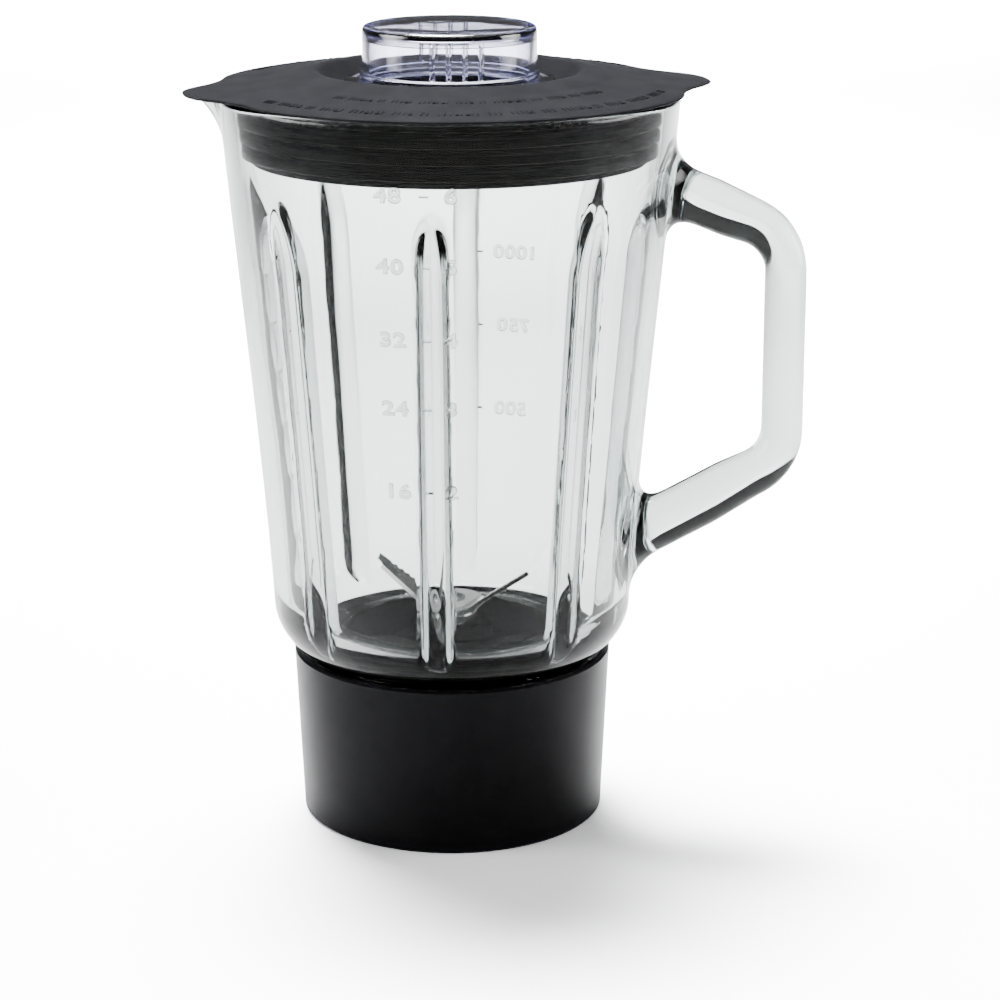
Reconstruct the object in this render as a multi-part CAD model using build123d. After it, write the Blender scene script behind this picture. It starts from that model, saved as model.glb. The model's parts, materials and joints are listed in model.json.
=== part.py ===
from build123d import *
import os
from math import atan2, cos, degrees, radians, sin, tan

os.makedirs("parts", exist_ok=True)

# Glass jug attachment of a countertop blender.
# The origin is the centre of the collar's bottom edge, +Z is up, +X points along the handle.
# All sizes are millimetres.

# ---- Collar -----------------------------------------------------------------------------
collar_bottom_r = 50.0
collar_top_r = 52.5
collar_height = 56.3
collar_mouth_r = 49.4
socket_r = 46.5
socket_depth = 14.0
socket_step = 0.9
ledge_bottom = 18.0
ledge_thickness = 3.0
ledge_inner_r = 40.5
notch_count = 4
notch_width = 10.0
notch_depth = 1.8
notch_height = 12.0

# ---- Threaded ring inside the collar ----------------------------------------------------
ring_outer_r = 48.2
ring_thread_wall_r = 45.4
ring_low_wall_r = 42.7
ring_low_wall_height = 6.5
ring_seat_r = 38.5
ring_seat_thickness = 3.0
ring_top = 53.0
ring_flange_thickness = 2.5

screw_count = 3
screw_circle_r = 45.2
screw_shank_r = 1.4
screw_length = 8.8
screw_head_r = 2.2
screw_head_height = 1.8
screw_slot_width = 0.8
screw_pocket_gap = 0.3

# ---- Thread between the jar and the ring ------------------------------------------------
thread_pitch = 9.0
thread_turns = 1.05
thread_base_width = 3.4
thread_crest_width = 1.7
thread_start = 36.5
jar_crest_r = 44.4
ring_crest_r = 43.5
thread_root = 0.5

# ---- Glass jar --------------------------------------------------------------------------
foot_outer_r = 42.6
foot_inner_r = 36.3
foot_bottom = 29.0
shoulder_centre = (41.0, 73.0)
shoulder_r = 18.0
bowl_centre = (39.0, 77.0)
bowl_r = 15.2
jar_low = (61.8, 112.0)
jar_middle = (66.1, 159.0)
jar_top_r = 73.5
jar_rim = 241.0
wall_thickness = 4.7
rim_round = 2.2
flare_taper = 0.095

rib_count = 8
rib_r = 4.4
rib_foot = (50.5, 57.0)
rib_knee = (61.8, 192.0)
rib_head = (75.0, 218.0)

spout_tilt = 42.0
spout_r = 13.0
spout_bore_r = 8.8
spout_axis_x = -66.0
spout_top = 240.5
spout_length = 24.0
pour_reach = 30.0
pour_depth = 17.0

handle_depth = 14.6
handle_width = 19.0
handle_bevel = 3.8
handle_bend_r = 17.5
handle_upper_root = (58.0, 215.3)
handle_upper_corner = (108.0, 195.8)
handle_lower_corner = (108.0, 121.5)
handle_lower_root = (52.0, 90.0)
handle_root_round = 5.0

# ---- Blade carrier, bushes and seals ----------------------------------------------------
carrier_flange_r = 42.2
carrier_flange_bottom = 24.2
carrier_flange_thickness = 2.8
plug_r = 35.9
plug_wall = 3.0
dish_rim = 61.4
dish_floor = 57.6
dish_thickness = 2.8
boss_r = 13.5
boss_top = 65.0
tube_r = 10.6
tube_bottom = 26.0
carrier_rib_count = 4
carrier_rib_angle = 45.0
carrier_rib_thickness = 2.0
carrier_rib_bottom = 34.0
carrier_rib_bite = 0.5

gasket_inner_r = 37.0
bush_r = 7.0
bush_length = 11.0
seal_r = 9.0
seal_height = 3.2

# ---- Cutter -----------------------------------------------------------------------------
shaft_r = 4.0
shaft_play = 0.05
shaft_flat = 3.1
shaft_bottom = 19.7
washer_r = 7.6
washer_thickness = 0.9
running_gap = 0.3
blade_thickness = 1.5
blade_hub_r = 8.3
blade_bend_r = 8.0
blade_tip_r = 27.5
blade_root_width = 10.5
blade_tip_width = 4.5
blade_bevel_width = 3.0
upper_blade_tilt = 35.5
lower_blade_tilt = -10.0
upper_blade_angle = 159.0
lower_blade_angle = 249.0
tooth_count = 6
tooth_r = 0.9
first_tooth = 6.0
last_tooth = 3.0
lock_plate_r = 10.6
lock_plate_half_width = 7.2
lock_plate_thickness = 1.2
rivet_r = 3.9
rivet_height = 1.2

coupling_r = 15.0
coupling_bottom = 14.5
coupling_top = 23.4
coupling_tooth_count = 6
coupling_tooth_height = 5.0
core_r = 6.6
clip_r = 6.6
clip_groove_r = 3.1

# ---- Lid --------------------------------------------------------------------------------
lid_r = 77.0
lobe_tip_r = 85.0
lobe_side = [(84.0, 6.0), (80.2, 11.0), (76.8, 16.0), (75.5, 20.5), (75.8, 27.0)]
lobe_end_angle = 36.0
lid_turn = 16.0
flange_underside = 241.3
lid_outer_top = 242.4
lid_knee = (64.0, 244.2)
dish_edge = (42.3, 248.1)
lid_floor_r = 36.4
lid_floor = 242.0
lid_thickness = 1.9
skirt_r = 62.0
skirt_wall = 2.0
skirt_bottom = 220.2
skirt_foot_r = 64.0
skirt_foot_height = 1.8

lid_seal_inner_r = 62.4
lid_seal_sleeve = 1.8
lip_count = 4
lip_thickness = 3.6
lip_gap = 0.4

# ---- Filler cap -------------------------------------------------------------------------
cap_top = 261.5
cap_r = 27.8
cap_edge_round = 2.6
cap_wall = 2.3
cap_step_r = 28.6
cap_step = 246.7
cap_flange_r = 33.5
cap_flange_bottom = 243.2
cap_flange_thickness = 1.6
cap_skirt_r = 29.3
cap_skirt_bottom = 232.0
cap_seal_r = 31.2
cap_hole_r = 29.8
cap_tab_r = 31.6
cap_tab_half_angle = 10.0
cap_tab_bottom = 237.4
cap_tab_height = 2.2
cap_notch_r = 32.1
cap_notch_half_angle = 14.0
grip_count = 4
grip_spacing = 10.6
grip_turn = -6.4
grip_r = 0.9


def turned(*edges):
    """Solid of revolution about Z, from a closed outline drawn as (radius, height)."""
    outline = Curve() + list(edges)
    return revolve(Plane.XZ * make_face(outline), Axis.Z)


def turned_polygon(*points):
    """Solid of revolution about Z, from the corners of its section as (radius, height)."""
    return turned(Polyline(*points, close=True))


def tube(outer_r, inner_r, bottom, top):
    """Plain ring about Z, from one height to another."""
    return turned_polygon((inner_r, bottom), (outer_r, bottom), (outer_r, top), (inner_r, top))


def rod(radius, bottom, top):
    """Plain cylinder about Z, from one height to another."""
    return Pos(0, 0, bottom) * extrude(Circle(radius), top - bottom)


def spread(shape, count, first=0.0):
    """Copies of one shape, evenly spaced about Z."""
    return [Rot(0, 0, first + 360.0 * i / count) * shape for i in range(count)]


def sector(outer_r, inner_r, half_angle, bottom, top):
    """Part of a ring about Z, centred on the X axis."""
    a = radians(half_angle)
    inner = (inner_r * cos(a), inner_r * sin(a))
    outer = (outer_r * cos(a), outer_r * sin(a))
    outline = Curve() + [
        Line((inner[0], -inner[1]), (outer[0], -outer[1])),
        ThreePointArc((outer[0], -outer[1]), (outer_r, 0), outer),
        Line(outer, inner),
        ThreePointArc(inner, (inner_r, 0), (inner[0], -inner[1])),
    ]
    return Pos(0, 0, bottom) * extrude(make_face(outline), top - bottom)


def thread_ridge(wall_r, crest_r, start, turns):
    """Right-handed helical ridge that stands on a round wall, towards its crest radius."""
    into_wall = -thread_root if crest_r > wall_r else thread_root
    base = wall_r + into_wall - crest_r
    path = Helix(pitch=thread_pitch, height=thread_pitch * turns, radius=crest_r)
    half_base = thread_base_width / 2
    half_crest = thread_crest_width / 2
    section = Polyline((base, -half_base), (0, -half_crest), (0, half_crest), (base, half_base), close=True)
    profile = Plane(origin=path @ 0, x_dir=(1, 0, 0), z_dir=path % 0) * make_face(section)
    return Pos(0, 0, start) * sweep(profile, path=path, is_frenet=True)


def make_base():
    """Collar that stands on the motor base, the threaded ring inside it and the ring's screws."""
    ledge = ledge_bottom
    ring_bottom = ledge + ledge_thickness
    collar = turned_polygon(
        (socket_r, 0),
        (collar_bottom_r - 0.8, 0),
        (collar_bottom_r, 0.8),
        (collar_top_r, collar_height - 0.7),
        (collar_top_r - 0.7, collar_height),
        (collar_mouth_r + 0.9, collar_height),
        (collar_mouth_r, collar_height - 0.9),
        (collar_mouth_r, ring_top - ring_flange_thickness),
        (ring_outer_r, ring_top - ring_flange_thickness - 1.2),
        (ring_outer_r, ring_bottom),
        (ledge_inner_r, ring_bottom),
        (ledge_inner_r, ledge),
        (socket_r - socket_step, ledge),
        (socket_r - socket_step, socket_depth),
        (socket_r, socket_depth),
    )
    notch = Pos(socket_r, 0, notch_height / 2) * Box(2 * notch_depth, notch_width, notch_height)
    collar -= spread(notch, notch_count, 45)
    hole = Pos(screw_circle_r, 0, 0) * rod(screw_shank_r + 0.2, ledge - 1, ring_bottom + 1)
    pocket_r = screw_head_r + screw_pocket_gap
    pocket = Pos(screw_circle_r, 0, 0) * rod(pocket_r, ledge - screw_head_height - 1, ledge)
    collar -= spread(hole + pocket, screw_count, 30)

    flange_bottom = ring_top - ring_flange_thickness
    ring = turned_polygon(
        (ring_seat_r, ring_bottom),
        (ring_outer_r, ring_bottom),
        (ring_outer_r, flange_bottom - 1.2),
        (collar_mouth_r - 0.05, flange_bottom),
        (collar_mouth_r - 0.05, ring_top - 0.6),
        (collar_mouth_r - 0.65, ring_top),
        (ring_thread_wall_r + 0.8, ring_top),
        (ring_thread_wall_r, ring_top - 0.8),
        (ring_thread_wall_r, ring_bottom + ring_low_wall_height),
        (ring_low_wall_r, ring_bottom + ring_low_wall_height),
        (ring_low_wall_r, ring_bottom + ring_seat_thickness),
        (ring_seat_r, ring_bottom + ring_seat_thickness),
    )
    ring += thread_ridge(ring_thread_wall_r, ring_crest_r, thread_start + thread_pitch / 2, thread_turns)
    pilot = Pos(screw_circle_r, 0, 0) * rod(screw_shank_r, ring_bottom - 1, ledge + screw_length)
    ring -= spread(pilot, screw_count, 30)

    head = rod(screw_head_r, ledge - screw_head_height, ledge)
    slot = Pos(0, 0, ledge - screw_head_height) * Box(2 * screw_head_r, screw_slot_width, screw_head_height)
    cross = slot + Rot(0, 0, 90) * slot
    screw = head + rod(screw_shank_r, ledge, ledge + screw_length) - cross
    screws = spread(Pos(screw_circle_r, 0, 0) * screw, screw_count, 30)
    return {"base_collar": collar, "base_thread_ring": ring, "ring_screws": Compound(screws)}


def jar_wall(offset):
    """Outer side line of the glass, from the shoulder to the rim, moved inwards by an offset."""
    centre = bowl_centre if offset else shoulder_centre
    start = (centre[0] + (bowl_r if offset else shoulder_r), centre[1])
    low = (jar_low[0] - offset, jar_low[1])
    middle = (jar_middle[0] - offset, jar_middle[1])
    top = (jar_top_r - offset, jar_rim - rim_round)
    return Spline(start, low, middle, top, tangents=[(0.02, 1), (flare_taper, 1)])


def jar_body():
    """Outer shape of the glass without its hollow: foot, shoulder, tapered wall and rim."""
    drop = (shoulder_r**2 - (foot_outer_r - shoulder_centre[0]) ** 2) ** 0.5
    neck = (foot_outer_r, shoulder_centre[1] - drop)
    side_angle = radians(-45)
    shoulder_middle = (
        shoulder_centre[0] + shoulder_r * cos(side_angle),
        shoulder_centre[1] + shoulder_r * sin(side_angle),
    )
    wall = jar_wall(0)
    rim_outer = (jar_top_r, jar_rim - rim_round)
    rim_top = (jar_top_r - rim_round, jar_rim)
    rim_middle = (
        jar_top_r - rim_round + rim_round * cos(radians(45)),
        jar_rim - rim_round + rim_round * sin(radians(45)),
    )
    return turned(
        Polyline((0, foot_bottom), (foot_outer_r, foot_bottom), neck),
        ThreePointArc(neck, shoulder_middle, wall @ 0),
        wall,
        ThreePointArc(rim_outer, rim_middle, rim_top),
        Polyline(rim_top, (0, jar_rim), (0, foot_bottom)),
    )


def jar_hollow():
    """Hollow of the glass: bore of the foot, rounded bowl and tapered inside wall."""
    drop = (bowl_r**2 - (foot_inner_r - bowl_centre[0]) ** 2) ** 0.5
    bowl_start = (foot_inner_r, bowl_centre[1] - drop)
    side_angle = radians(-45)
    bowl_middle = (bowl_centre[0] + bowl_r * cos(side_angle), bowl_centre[1] + bowl_r * sin(side_angle))
    wall = jar_wall(wall_thickness)
    lip = wall @ 1
    mouth = (lip.X + 1.6, jar_rim + 0.5)
    return turned(
        Polyline((0, foot_bottom - 1), (foot_inner_r, foot_bottom - 1), bowl_start),
        ThreePointArc(bowl_start, bowl_middle, wall @ 0),
        wall,
        Polyline(lip, mouth, (0, jar_rim + 0.5), (0, foot_bottom - 1)),
    )


def slanted_bar(start, end, radius):
    """Round bar above the X axis, between two points given as (distance along X, height)."""
    run = end[0] - start[0]
    rise = end[1] - start[1]
    lean = degrees(atan2(run, rise))
    bar = extrude(Circle(radius), (run**2 + rise**2) ** 0.5)
    return Pos(start[0], 0, start[1]) * Rot(0, lean, 0) * bar


def jar_rib():
    """Bent round bar that leaves one of the ridges standing on the inside wall."""
    knee = Pos(rib_knee[0], 0, rib_knee[1]) * Sphere(rib_r)
    return slanted_bar(rib_foot, rib_knee, rib_r) + knee + slanted_bar(rib_knee, rib_head, rib_r)


def spout_cylinder(radius):
    """Slanted round bar along the pouring lip, cut off level with the rim."""
    bar = Pos(0, 0, -spout_length) * extrude(Circle(radius), 2 * spout_length)
    bar = Pos(spout_axis_x, 0, jar_rim) * Rot(0, -spout_tilt, 0) * bar
    above = Pos(spout_axis_x, 0, spout_top + spout_length) * Box(200, 200, 2 * spout_length)
    return bar - above


def handle_bar():
    """Handle with a bevelled section, swept along two slanted arms and an upright grip."""
    points = [handle_upper_root, handle_upper_corner, handle_lower_corner, handle_lower_root]
    path = Plane.XZ * FilletPolyline(*points, radius=handle_bend_r)
    section = Rectangle(handle_width, handle_depth)
    section = chamfer(section.vertices(), handle_bevel)
    section = fillet(section.vertices(), 1.4)
    profile = Plane(origin=path @ 0, x_dir=(0, 1, 0), z_dir=path % 0) * section
    return sweep(profile, path=path)


def make_jar():
    """Pressed glass jar, one solid: wall, foot thread, spout, handle and eight inner ridges."""
    body = jar_body()
    handle = handle_bar()
    glass = body + handle
    glass = fillet(new_edges(body, handle, combined=glass), handle_root_round)
    glass += spout_cylinder(spout_r)
    glass -= jar_hollow() - spread(jar_rib(), rib_count)
    pour = spout_cylinder(spout_bore_r) + Pos(0, 0, 1) * spout_cylinder(spout_bore_r)
    pour &= Pos(spout_axis_x, 0, jar_rim) * Box(2 * pour_reach, 2 * pour_reach, 2 * pour_depth)
    glass -= pour
    glass += thread_ridge(foot_outer_r, jar_crest_r, thread_start, thread_turns)
    return {"jar": glass}


def make_blade_unit():
    """Carrier that closes the bottom of the jar, its gasket, bushes, felt and shaft seal."""
    flange_top = carrier_flange_bottom + carrier_flange_thickness
    wall_inner = plug_r - plug_wall
    under_dish = dish_floor - dish_thickness
    carrier = turned_polygon(
        (wall_inner, carrier_flange_bottom),
        (carrier_flange_r, carrier_flange_bottom),
        (carrier_flange_r, flange_top),
        (plug_r, flange_top),
        (plug_r, dish_rim - 0.8),
        (plug_r - 0.8, dish_rim),
        (plug_r - 3.0, dish_rim - 0.6),
        (boss_r + 6.0, dish_floor),
        (boss_r + 1.0, dish_floor),
        (boss_r, dish_floor + 1.0),
        (boss_r, boss_top - 1.0),
        (boss_r - 1.0, boss_top),
        (seal_r, boss_top),
        (seal_r, boss_top - seal_height - 0.6),
        (bush_r, boss_top - seal_height - 0.6),
        (bush_r, tube_bottom),
        (tube_r, tube_bottom),
        (tube_r, under_dish),
        (boss_r + 6.0, under_dish),
        (wall_inner, dish_rim - 0.6 - dish_thickness),
    )
    rib_span = wall_inner - tube_r + 2 * carrier_rib_bite
    rib_height = under_dish + carrier_rib_bite / 2 - carrier_rib_bottom
    rib = Pos(tube_r - carrier_rib_bite + rib_span / 2, 0, carrier_rib_bottom + rib_height / 2)
    rib *= Box(rib_span, carrier_rib_thickness, rib_height)
    carrier += spread(rib, carrier_rib_count, carrier_rib_angle)

    gasket = tube(foot_outer_r - 0.4, gasket_inner_r, flange_top, foot_bottom - running_gap)
    lower_bush = tube(bush_r, shaft_r + shaft_play, tube_bottom, tube_bottom + bush_length)
    upper_end = boss_top - seal_height - 0.6
    upper_bush = tube(bush_r, shaft_r + shaft_play, upper_end - bush_length, upper_end)
    felt = tube(bush_r, shaft_r + running_gap, tube_bottom + bush_length, upper_end - bush_length)
    lip_r = shaft_r + 0.1
    seal = turned_polygon(
        (lip_r, boss_top - 2.6),
        (lip_r + 1.4, boss_top - seal_height),
        (seal_r, boss_top - seal_height),
        (seal_r, boss_top - 0.3),
        (seal_r - 1.6, boss_top - 0.3),
        (seal_r - 2.4, boss_top - 1.9),
        (lip_r, boss_top - 1.6),
    )
    return {
        "blade_carrier": carrier,
        "jar_gasket": gasket,
        "lower_bush": lower_bush,
        "upper_bush": upper_bush,
        "oil_felt": felt,
        "shaft_seal": seal,
    }


def blade(bottom, tilt, angle, toothed):
    """Sheet blade: round hub with two bent arms, each with a ground edge, toothed or plain."""
    seat = extrude(Circle(shaft_r) & Rectangle(2 * shaft_r, 2 * shaft_flat), blade_thickness)
    hub = extrude(Circle(blade_hub_r), blade_thickness)
    length = (blade_tip_r - blade_bend_r) / cos(radians(tilt))
    root = blade_root_width / 2
    tip_edge = root - blade_tip_width
    corners = [(0, -root), (length, tip_edge), (length - 1.5, root - 1.0), (length - 4.0, root), (0, root)]
    arm = extrude(make_face(Polyline(*corners, close=True)), blade_thickness)
    slant = atan2(tip_edge + root, length)
    ground = Polyline((0, 0), (blade_bevel_width, 0), (0, blade_thickness * 0.85), close=True)
    cut = Rot(0, 0, degrees(slant)) * Plane.YZ * make_face(ground)
    wedge = extrude(cut, 2 * length, dir=(cos(slant), sin(slant), 0))
    arm -= Pos(0, -root, 0) * wedge
    if toothed:
        pitch = (length - first_tooth - last_tooth) / tooth_count
        for i in range(tooth_count):
            along = first_tooth + pitch * i
            edge = -root + along * tan(slant)
            arm -= Pos(along, edge, 0) * extrude(Circle(tooth_r), blade_thickness)
    bent = Pos(blade_bend_r, 0, 0) * Rot(0, -tilt, 0) * arm
    shape = hub + bent + Rot(0, 0, 180) * bent
    return Pos(0, 0, bottom) * (Rot(0, 0, angle) * shape - seat)


def make_cutter():
    """Shaft with everything that spins with it: blades, washers, clip and drive coupling."""
    stack = boss_top + running_gap
    upper_washer = tube(washer_r, shaft_r, stack, stack + washer_thickness)
    lower_blade_bottom = stack + washer_thickness
    spacer_bottom = lower_blade_bottom + blade_thickness
    spacer_top = spacer_bottom + blade_thickness
    upper_blade_top = spacer_top + blade_thickness
    plate_top = upper_blade_top + lock_plate_thickness

    seat_outline = Circle(shaft_r) & Rectangle(2 * shaft_r, 2 * shaft_flat)
    shaft = rod(shaft_r, shaft_bottom, lower_blade_bottom)
    shaft += Pos(0, 0, lower_blade_bottom) * extrude(seat_outline, plate_top - lower_blade_bottom)
    shaft += turned_polygon(
        (0, plate_top),
        (rivet_r + 0.6, plate_top),
        (rivet_r + 0.4, plate_top + rivet_height * 0.6),
        (rivet_r - 1.2, plate_top + rivet_height),
        (0, plate_top + rivet_height),
    )
    clip_top = tube_bottom - running_gap - washer_thickness
    clip_bottom = clip_top - 1.0
    shaft -= tube(shaft_r + 1, clip_groove_r, clip_bottom, clip_top)
    lower_washer = tube(washer_r, shaft_r, clip_top, tube_bottom - running_gap)
    clip_gap = Pos(clip_r / 2, 0, (clip_bottom + clip_top) / 2) * Box(clip_r, 2 * clip_groove_r - 1.2, 2)
    clip = tube(clip_r, clip_groove_r, clip_bottom, clip_top) - clip_gap

    seat_hole = Pos(0, 0, spacer_bottom) * extrude(seat_outline, plate_top - spacer_bottom)
    spacer = rod(washer_r, spacer_bottom, spacer_top) - seat_hole
    plate_outline = Circle(lock_plate_r) & Rectangle(2 * lock_plate_half_width, 2 * lock_plate_r)
    plate = Rot(0, 0, upper_blade_angle) * extrude(plate_outline, lock_plate_thickness)
    plate = Pos(0, 0, upper_blade_top) * plate - seat_hole

    body_bottom = coupling_bottom + coupling_tooth_height
    body_height = coupling_top - body_bottom
    hexagon = RegularPolygon(core_r, 6)
    coupling = Pos(0, 0, body_bottom) * extrude(Circle(coupling_r) - hexagon, body_height)
    tooth = sector(coupling_r - 0.4, core_r + 2.4, 13, coupling_bottom, body_bottom + 0.5)
    coupling += spread(tooth, coupling_tooth_count)
    core = Pos(0, 0, body_bottom) * extrude(hexagon - Circle(shaft_r), body_height)
    return {
        "drive_shaft": shaft,
        "upper_thrust_washer": upper_washer,
        "lower_thrust_washer": lower_washer,
        "shaft_clip": clip,
        "lower_blade": blade(lower_blade_bottom, lower_blade_tilt, lower_blade_angle, False),
        "blade_spacer": spacer,
        "upper_blade": blade(spacer_top, upper_blade_tilt, upper_blade_angle, True),
        "blade_lock_plate": plate,
        "drive_coupling": coupling,
        "coupling_core": core,
    }


def polar(radius, angle):
    """Point in the plane from its radius and its angle in degrees."""
    return (radius * cos(radians(angle)), radius * sin(radians(angle)))


def lid_outline():
    """Plan of the lid: a circle with two opposite lobes that run out in gentle hollows."""
    side = lobe_side + [(lid_r, lobe_end_angle)]
    start = polar(lid_r, -lobe_end_angle)
    end = polar(lid_r, lobe_end_angle)
    points = [polar(radius, -angle) for radius, angle in reversed(side)]
    points += [(lobe_tip_r, 0)] + [polar(radius, angle) for radius, angle in side]
    half = [
        Spline(*points, tangents=[(-start[1], start[0]), (-end[1], end[0])]),
        ThreePointArc(end, (0, lid_r), (-end[0], end[1])),
    ]
    return make_face(Curve() + half + [Rot(0, 0, 180) * edge for edge in half])


def make_lid():
    """Lid with its cone, dish and skirt, and the lipped ring that grips the glass."""
    slab = Pos(0, 0, flange_underside - 5) * extrude(lid_outline(), 20)
    reach = lobe_tip_r + 3.5
    under = lid_thickness
    cover = turned_polygon(
        (cap_hole_r, lid_floor - under),
        (lid_floor_r + 1.2, lid_floor - under),
        (dish_edge[0] - 0.6, dish_edge[1] - under - 0.6),
        (skirt_r - skirt_wall, flange_underside + 0.9),
        (skirt_r, flange_underside),
        (reach, flange_underside),
        (reach, lid_outer_top),
        lid_knee,
        (dish_edge[0] + 0.8, dish_edge[1] - 0.1),
        (dish_edge[0] - 0.6, dish_edge[1] - 0.3),
        (lid_floor_r, lid_floor),
        (cap_hole_r, lid_floor),
    )
    cover &= slab
    cover += turned_polygon(
        (skirt_r - skirt_wall, skirt_bottom + 0.8),
        (skirt_r - skirt_wall + 0.8, skirt_bottom),
        (skirt_foot_r - 0.8, skirt_bottom),
        (skirt_foot_r, skirt_bottom + 0.8),
        (skirt_foot_r, skirt_bottom + skirt_foot_height),
        (skirt_r, skirt_bottom + skirt_foot_height),
        (skirt_r, flange_underside + 0.5),
        (skirt_r - skirt_wall, flange_underside + 1.4),
    )
    notch = sector(cap_notch_r, cap_hole_r - 2, cap_notch_half_angle, lid_floor - 5, lid_floor + 1)
    cover -= spread(notch, 2)

    seal_bottom = skirt_bottom + skirt_foot_height + 0.3
    seal_top = flange_underside - 0.3
    sleeve_r = lid_seal_inner_r + lid_seal_sleeve
    seal = tube(sleeve_r, lid_seal_inner_r, seal_bottom, seal_top)
    lip_pitch = (seal_top - seal_bottom - lip_thickness) / (lip_count - 1)
    for i in range(lip_count):
        low = seal_bottom + lip_pitch * i
        glass_r = jar_top_r - wall_thickness - (jar_rim - rim_round - low) * flare_taper
        lip_r = glass_r - lip_gap
        seal += turned_polygon(
            (sleeve_r - 0.3, low),
            (lip_r, low + lip_thickness * 0.15),
            (lip_r, low + lip_thickness * 0.85),
            (sleeve_r - 0.3, low + lip_thickness),
        )
    turn = Rot(0, 0, lid_turn)
    return {"lid_cover": turn * cover, "lid_seal": seal}


def make_cap():
    """Clear filler cap, a cup turned over, with finger grips and two locking tabs."""
    inner_r = cap_r - cap_wall
    flange_top = cap_flange_bottom + cap_flange_thickness
    edge_start = (cap_r, cap_top - cap_edge_round)
    edge_end = (cap_r - cap_edge_round, cap_top)
    edge_middle = (
        cap_r - cap_edge_round * (1 - cos(radians(45))),
        cap_top - cap_edge_round * (1 - sin(radians(45))),
    )
    cap = turned(
        Polyline(
            (inner_r, cap_skirt_bottom),
            (cap_skirt_r, cap_skirt_bottom),
            (cap_skirt_r, cap_flange_bottom),
            (cap_flange_r - 0.4, cap_flange_bottom),
            (cap_flange_r, cap_flange_bottom + 0.4),
            (cap_flange_r, flange_top - 0.4),
            (cap_flange_r - 0.4, flange_top),
            (cap_step_r, flange_top),
            (cap_step_r, cap_step),
            (cap_r, cap_step + 0.5),
            edge_start,
        ),
        ThreePointArc(edge_start, edge_middle, edge_end),
        Polyline(
            edge_end,
            (0, cap_top),
            (0, cap_top - cap_wall),
            (inner_r - 1.2, cap_top - cap_wall),
            (inner_r, cap_top - cap_wall - 1.2),
            (inner_r, cap_skirt_bottom),
        ),
    )
    grip_top = cap_top - cap_edge_round - 1.2
    grip = rod(grip_r, cap_step, grip_top) + Pos(0, 0, grip_top) * Sphere(grip_r)
    grip = Pos(cap_r - 0.1, 0, 0) * grip
    for side in (-90, 90):
        for i in range(grip_count):
            cap += Rot(0, 0, side + grip_turn + grip_spacing * (i - (grip_count - 1) / 2)) * grip
    tab_top = cap_tab_bottom + cap_tab_height
    cap += spread(sector(cap_tab_r, cap_skirt_r - 0.5, cap_tab_half_angle, cap_tab_bottom, tab_top), 2)
    turn = Rot(0, 0, lid_turn)
    ring_bottom = lid_floor + running_gap
    ring_top_height = cap_flange_bottom - running_gap
    ring = tube(cap_seal_r, cap_skirt_r + running_gap, ring_bottom, ring_top_height)
    return {"filler_cap": turn * cap, "cap_seal": ring}


sub_parts = {}
for maker in (make_base, make_blade_unit, make_cutter, make_jar, make_lid, make_cap):
    sub_parts.update(maker())

for name, shape in sub_parts.items():
    export_step(shape, f"parts/{name}.step")
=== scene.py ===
import json
from math import acos, cos, pi, radians, sin, tan

import bmesh
import bpy
import numpy as np
from mathutils import Matrix, Vector


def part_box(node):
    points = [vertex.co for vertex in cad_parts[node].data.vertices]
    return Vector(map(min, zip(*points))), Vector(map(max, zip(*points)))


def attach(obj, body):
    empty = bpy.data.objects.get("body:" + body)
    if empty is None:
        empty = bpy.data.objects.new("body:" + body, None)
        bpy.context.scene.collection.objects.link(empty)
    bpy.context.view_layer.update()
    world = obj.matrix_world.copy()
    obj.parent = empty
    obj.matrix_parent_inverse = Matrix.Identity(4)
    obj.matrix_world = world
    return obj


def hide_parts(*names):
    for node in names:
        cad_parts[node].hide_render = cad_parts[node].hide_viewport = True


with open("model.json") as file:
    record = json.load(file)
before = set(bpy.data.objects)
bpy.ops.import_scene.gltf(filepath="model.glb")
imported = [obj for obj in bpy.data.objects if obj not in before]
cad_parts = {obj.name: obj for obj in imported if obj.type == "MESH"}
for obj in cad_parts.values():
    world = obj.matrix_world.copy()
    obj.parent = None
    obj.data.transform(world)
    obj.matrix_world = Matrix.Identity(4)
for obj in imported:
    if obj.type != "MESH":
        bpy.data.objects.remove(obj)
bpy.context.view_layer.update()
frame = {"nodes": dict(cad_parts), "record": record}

MM = 0.001
scene = bpy.context.scene

# ---- Sizes of the glass, in millimetres --------------------------------------------------
WALL_HEIGHTS = (73.0, 112.0, 159.0, 238.8)
WALL_RADII = (59.0, 61.8, 66.1, 73.5)
WALL_SLOPE_FACTOR = 0.996
WALL_CURVE = np.polyfit(WALL_HEIGHTS, WALL_RADII, 3)
WALL_THICKNESS = 4.7
FOOT_BOTTOM = 29.0
FOOT_OUTER_R = 42.6
FOOT_BORE_R = 36.3
SHOULDER_BOTTOM = 55.1
SHOULDER_ROUND = 18.0
BOWL_BOTTOM = 61.8
BOWL_ROUND = 15.2
RIM_TOP = 241.0
RIM_ROUND = 2.2

RIDGE_COUNT = 8
RIDGE_R = 4.4
RIDGE_FOOT = (50.5, 57.0)
RIDGE_SLOPE = 0.0837
RIDGE_BEND_START = 188.0
RIDGE_BEND = 0.016
RIDGE_BEND_LENGTH = 44.0

SPOUT_TILT = radians(42.0)
SPOUT_AXIS_X = -66.0
SPOUT_R = 13.0
SPOUT_BORE_R = 8.8
SPOUT_REACH = 24.0
SPOUT_BORE_REACH = 30.0

HANDLE_POINTS = ((58.0, 215.3), (108.0, 195.8), (108.0, 121.5), (52.0, 90.0))
HANDLE_BEND = 17.5
HANDLE_GRIP_DEPTH = 6.7
HANDLE_ARM_EXTRA = 1.2
HANDLE_ARM_END = 101.0
HANDLE_ARM_TAPER = 14.0
HANDLE_HALF_WIDTH = 9.5
HANDLE_BEVEL = 4.0
HANDLE_ROOT_BLEND = 9.0

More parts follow.
